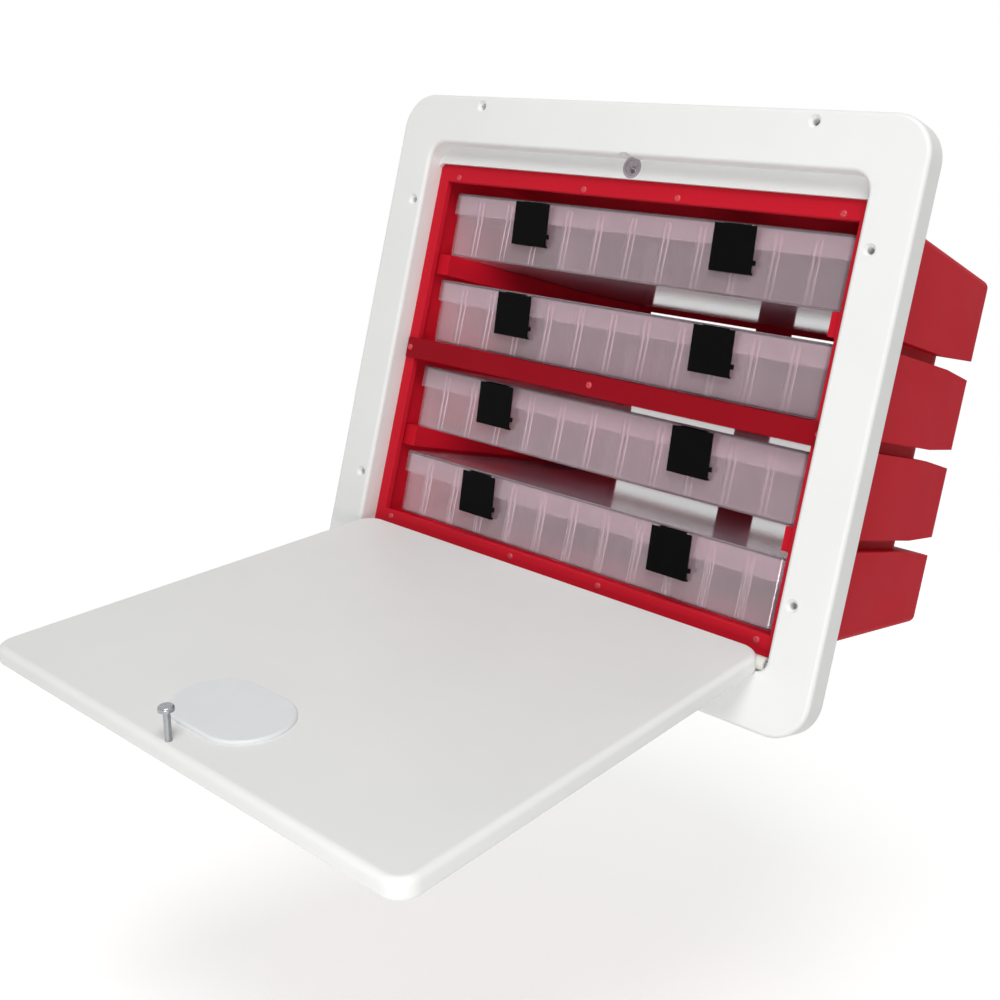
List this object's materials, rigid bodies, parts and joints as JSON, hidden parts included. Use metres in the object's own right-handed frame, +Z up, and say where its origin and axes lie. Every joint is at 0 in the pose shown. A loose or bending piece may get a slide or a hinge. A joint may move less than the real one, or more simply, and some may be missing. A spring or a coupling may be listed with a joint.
{
  "type": "tackle box",
  "caption": "Flush-mount boat tackle box: white bezel with a drop-down door, red moulded housing and clear slide-out utility boxes with flip latches.",
  "frame": {"origin": "centre of the bezel's rear face, which seats on the panel, in the middle of both screw patterns", "axes": "+X to the right seen from the front, +Y back into the housing, +Z up; the front faces -Y"},
  "size_m": [0.447, 0.5602, 0.439],
  "materials": {
    "white_sheet": "fine matte sheet polyethylene",
    "white_moulding": "smooth moulded plastic",
    "white_nylon": "satin nylon",
    "grey_nylon": "satin nylon",
    "red_plastic": "semi-gloss moulded plastic",
    "red_rivets": "painted aluminium",
    "clear_plastic": "frosted clear polypropylene",
    "black_plastic": "satin moulded plastic",
    "stainless": "polished stainless steel"
  },
  "bodies": {
    "housing": {"bezel_frame": "white_sheet", "tray_housing": "red_plastic", "front_trim": "red_plastic", "front_bar": "red_plastic", "trim_rivets": "red_rivets", "housing_screws": "stainless", "catch_cup": "grey_nylon", "hinge_pin_left": "stainless", "hinge_pin_right": "stainless", "pivot_spacer_left": "white_nylon", "pivot_spacer_right": "white_nylon"},
    "door": {"door_panel": "white_sheet", "finger_pull": "white_moulding", "strike_stud": "stainless"},
    "box_1": {"tray_1": "clear_plastic", "lid_1": "clear_plastic", "dividers_1": "clear_plastic", "lid_pins_1": "stainless"},
    "latch_left_1": {"latch_left_1": "black_plastic"},
    "latch_right_1": {"latch_right_1": "black_plastic"},
    "box_2": {"tray_2": "clear_plastic", "lid_2": "clear_plastic", "dividers_2": "clear_plastic", "lid_pins_2": "stainless"},
    "latch_left_2": {"latch_left_2": "black_plastic"},
    "latch_right_2": {"latch_right_2": "black_plastic"},
    "box_3": {"tray_3": "clear_plastic", "lid_3": "clear_plastic", "dividers_3": "clear_plastic", "lid_pins_3": "stainless"},
    "latch_left_3": {"latch_left_3": "black_plastic"},
    "latch_right_3": {"latch_right_3": "black_plastic"},
    "box_4": {"tray_4": "clear_plastic", "lid_4": "clear_plastic", "dividers_4": "clear_plastic", "lid_pins_4": "stainless"},
    "latch_left_4": {"latch_left_4": "black_plastic"},
    "latch_right_4": {"latch_right_4": "black_plastic"}
  },
  "joints": [
    {"name": "door_hinge", "type": "hinge", "parent": "housing", "child": "door", "pos_m": [0, -0.0145, -0.15212], "axis": [1, 0, 0], "range_deg": [-106.63, 0]},
    {"name": "box_slide_1", "type": "slide", "parent": "housing", "child": "box_1", "axis": [0, -1, 0], "range_m": [0, 0.26]},
    {"name": "latch_left_1_pivot", "type": "hinge", "parent": "box_1", "child": "latch_left_1", "pos_m": [-0.09, 0.0031, 0.12027], "axis": [-1, 0, 0], "range_deg": [0, 90]},
    {"name": "latch_right_1_pivot", "type": "hinge", "parent": "box_1", "child": "latch_right_1", "pos_m": [0.09, 0.0031, 0.12027], "axis": [-1, 0, 0], "range_deg": [0, 90]},
    {"name": "box_slide_2", "type": "slide", "parent": "housing", "child": "box_2", "axis": [0, -1, 0], "range_m": [0, 0.26]},
    {"name": "latch_left_2_pivot", "type": "hinge", "parent": "box_2", "child": "latch_left_2", "pos_m": [-0.09, 0.0031, 0.05027], "axis": [-1, 0, 0], "range_deg": [0, 90]},
    {"name": "latch_right_2_pivot", "type": "hinge", "parent": "box_2", "child": "latch_right_2", "pos_m": [0.09, 0.0031, 0.05027], "axis": [-1, 0, 0], "range_deg": [0, 90]},
    {"name": "box_slide_3", "type": "slide", "parent": "housing", "child": "box_3", "axis": [0, -1, 0], "range_m": [0, 0.26]},
    {"name": "latch_left_3_pivot", "type": "hinge", "parent": "box_3", "child": "latch_left_3", "pos_m": [-0.09, 0.0031, -0.01973], "axis": [-1, 0, 0], "range_deg": [0, 90]},
    {"name": "latch_right_3_pivot", "type": "hinge", "parent": "box_3", "child": "latch_right_3", "pos_m": [0.09, 0.0031, -0.01973], "axis": [-1, 0, 0], "range_deg": [0, 90]},
    {"name": "box_slide_4", "type": "slide", "parent": "housing", "child": "box_4", "axis": [0, -1, 0], "range_m": [0, 0.26]},
    {"name": "latch_left_4_pivot", "type": "hinge", "parent": "box_4", "child": "latch_left_4", "pos_m": [-0.09, 0.0031, -0.08973], "axis": [-1, 0, 0], "range_deg": [0, 90]},
    {"name": "latch_right_4_pivot", "type": "hinge", "parent": "box_4", "child": "latch_right_4", "pos_m": [0.09, 0.0031, -0.08973], "axis": [-1, 0, 0], "range_deg": [0, 90]}
  ]
}
